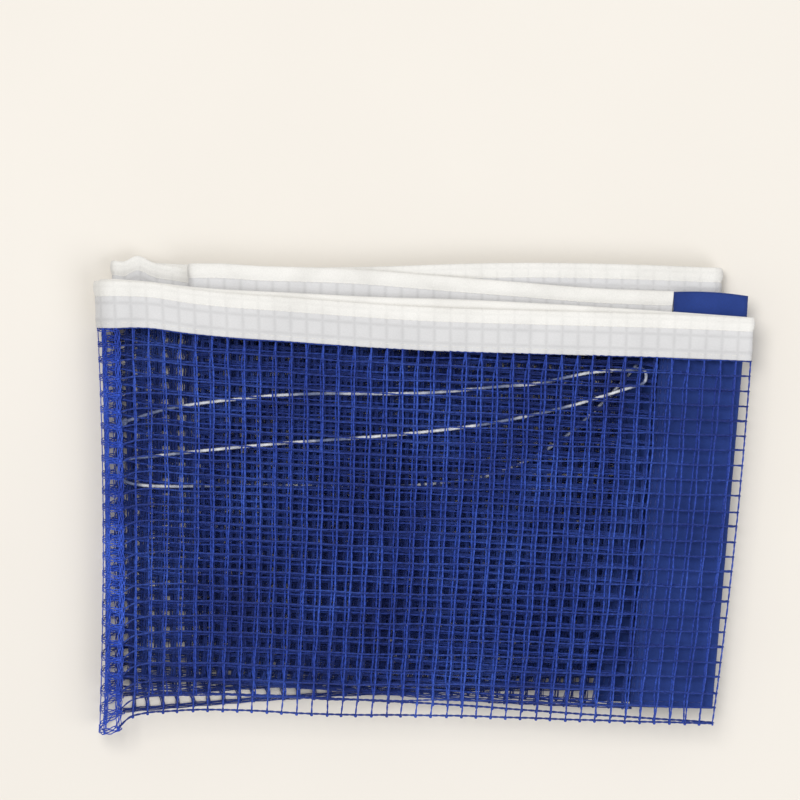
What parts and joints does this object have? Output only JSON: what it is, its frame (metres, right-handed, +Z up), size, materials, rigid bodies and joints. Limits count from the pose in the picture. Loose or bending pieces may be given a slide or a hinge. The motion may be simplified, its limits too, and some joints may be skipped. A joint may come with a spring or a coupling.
{
  "type": "folded table tennis net",
  "caption": "Square-mesh table tennis net with a taped, corded top edge and cloth end sleeves, folded into a flat pack whose top fold opens like a page.",
  "frame": {"origin": "middle of the folded net's box, on the surface that it lies on", "axes": "+X along the folded strip, towards the sleeves; +Y towards the tape; +Z up, out of the top layer"},
  "size_m": [0.2402, 0.1712, 0.0173],
  "materials": {
    "net_yarn": "satin",
    "tape_cloth": "matt",
    "sleeve_cloth": "matt",
    "cord": "satin",
    "thread": "satin"
  },
  "bodies": {
    "folded_stack": {"net_layer_3": "net_yarn", "tape_layer_3": "tape_cloth", "net_layer_4": "net_yarn", "tape_layer_4": "tape_cloth", "net_layer_5": "net_yarn", "tape_layer_5": "tape_cloth", "net_layer_6": "net_yarn", "tape_layer_6": "tape_cloth", "net_layer_7": "net_yarn", "tape_layer_7": "tape_cloth", "net_layer_8": "net_yarn", "tape_layer_8": "tape_cloth", "net_bend_1_8": "net_yarn", "tape_bend_1_8": "tape_cloth", "net_bend_2_7": "net_yarn", "tape_bend_2_7": "tape_cloth", "net_bend_5_6": "net_yarn", "tape_bend_5_6": "tape_cloth", "net_bend_3_4": "net_yarn", "tape_bend_3_4": "tape_cloth", "net_bend_4_8": "net_yarn", "tape_bend_4_8": "tape_cloth", "net_bend_6_7": "net_yarn", "tape_bend_6_7": "tape_cloth", "channel_cord_stack": "cord", "channel_cord_turn": "cord", "tape_threads_stack": "thread", "sleeve_a_upper_wall": "sleeve_cloth", "sleeve_a_lower_wall": "sleeve_cloth", "sleeve_a_seam": "thread", "sleeve_b_upper_wall": "sleeve_cloth", "sleeve_b_lower_wall": "sleeve_cloth", "sleeve_b_seam": "thread", "cord_tail_b": "cord", "cord_knot": "cord"},
    "cover": {"net_layer_1": "net_yarn", "tape_layer_1": "tape_cloth", "net_layer_2": "net_yarn", "tape_layer_2": "tape_cloth", "net_bend_1_2": "net_yarn", "tape_bend_1_2": "tape_cloth", "channel_cord_cover": "cord", "tape_threads_cover": "thread"}
  },
  "joints": [
    {"name": "cover_opening", "type": "hinge", "parent": "folded_stack", "child": "cover", "pos_m": [-0.12009, 0, 0.00868], "axis": [0, -1, 0], "range_deg": [0, 180], "deforming": ["net_bend_1_8", "tape_bend_1_8", "net_bend_2_7", "tape_bend_2_7", "channel_cord_turn"]}
  ]
}
